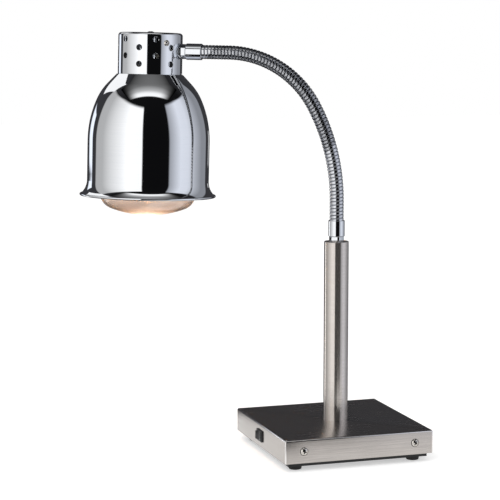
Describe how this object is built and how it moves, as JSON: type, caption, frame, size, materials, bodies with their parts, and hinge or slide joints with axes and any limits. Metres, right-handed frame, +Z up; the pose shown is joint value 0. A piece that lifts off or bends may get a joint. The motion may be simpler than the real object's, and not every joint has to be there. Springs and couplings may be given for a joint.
{
  "type": "food heat lamp",
  "caption": "Free-standing food heat lamp: a polished bell shade with a reflector bulb on a gooseneck arm, a tubular post and a square switched base.",
  "frame": {"origin": "middle of the square base, on the plane that the rubber feet stand on", "axes": "+Z up along the post; +X to the right along the face with two screws; +Y towards the back face with the cord gland; the switch is on the -X face"},
  "size_m": [0.4077, 0.3081, 0.5462],
  "materials": {
    "stainless": "brushed",
    "black_sheet": "satin",
    "cast_plate": "rough",
    "zinc_steel": "satin",
    "bright_steel": "polished",
    "rubber": "matte",
    "black_plastic": "satin",
    "rocker_plastic": "gloss",
    "brass": "satin",
    "block_plastic": "matte",
    "wire_black": "matte",
    "wire_earth": "matte",
    "wire_sleeve": "woven",
    "post_steel": "brushed",
    "chrome_fitting": "polished",
    "gooseneck": "polished",
    "chromed_spinning": "polished",
    "porcelain": "glazed",
    "lamp_glass": "clear",
    "glass_stem": "clear",
    "tungsten": "matte"
  },
  "bodies": {
    "base": {"base_shell": "stainless", "bottom_tray": "black_sheet", "ballast_plate": "cast_plate", "ballast_screws": "zinc_steel", "rubber_feet": "rubber", "foot_screws": "zinc_steel", "foot_nuts": "zinc_steel", "case_screws": "bright_steel", "case_nuts": "zinc_steel", "switch_housing": "black_plastic", "switch_tabs": "brass", "cord_gland": "black_plastic", "gland_nut": "black_plastic", "terminal_block": "block_plastic", "terminal_screws": "brass", "switch_leads": "wire_black", "earth_stud": "bright_steel", "earth_nut": "zinc_steel", "earth_lead": "wire_earth", "post_tube": "post_steel", "post_foot_plug": "zinc_steel", "post_stud": "zinc_steel", "post_washer": "zinc_steel", "post_nut": "zinc_steel", "post_top_plug": "post_steel", "lamp_lead_lower": "wire_sleeve"},
    "rocker": {"switch_rocker": "rocker_plastic"},
    "collar": {"lower_ferrule": "chrome_fitting", "lower_lock_nut": "chrome_fitting", "stem_nut": "zinc_steel"},
    "gooseneck": {"gooseneck_hose": "gooseneck", "lamp_lead_middle": "wire_sleeve"},
    "head": {"upper_ferrule": "chrome_fitting", "upper_lock_nut": "chrome_fitting", "inner_neck_nut": "zinc_steel", "neck_cover": "chromed_spinning", "top_screw": "bright_steel", "top_nut": "zinc_steel", "socket_bracket": "zinc_steel", "bracket_screws": "bright_steel", "bracket_nuts": "zinc_steel", "socket_screws": "bright_steel", "lamp_socket": "porcelain", "socket_shell": "brass", "socket_contact": "brass", "shade": "chromed_spinning", "bulb_glass": "lamp_glass", "bulb_cap": "brass", "bulb_stem": "glass_stem", "bulb_filament": "tungsten", "lamp_lead_upper": "wire_sleeve"}
  },
  "joints": [
    {"name": "switch_rock", "type": "hinge", "parent": "base", "child": "rocker", "pos_m": [-0.0965, 0, 0.026], "axis": [0, 0, 1], "range_deg": [-16, 0]},
    {"name": "arm_swivel", "type": "hinge", "parent": "base", "child": "collar", "pos_m": [0.004, 0, 0.276], "axis": [0, 0, 1], "range_deg": [-170, 170]},
    {"name": "gooseneck_lean", "type": "hinge", "parent": "collar", "child": "gooseneck", "pos_m": [0.004, 0, 0.3032], "axis": [-0.4848, -0.8746, 0], "range_deg": [-18, 18]},
    {"name": "head_nod", "type": "hinge", "parent": "gooseneck", "child": "head", "pos_m": [-0.15154, 0.08622, 0.51937], "axis": [-0.4848, -0.8746, 0], "range_deg": [-18, 18]}
  ]
}
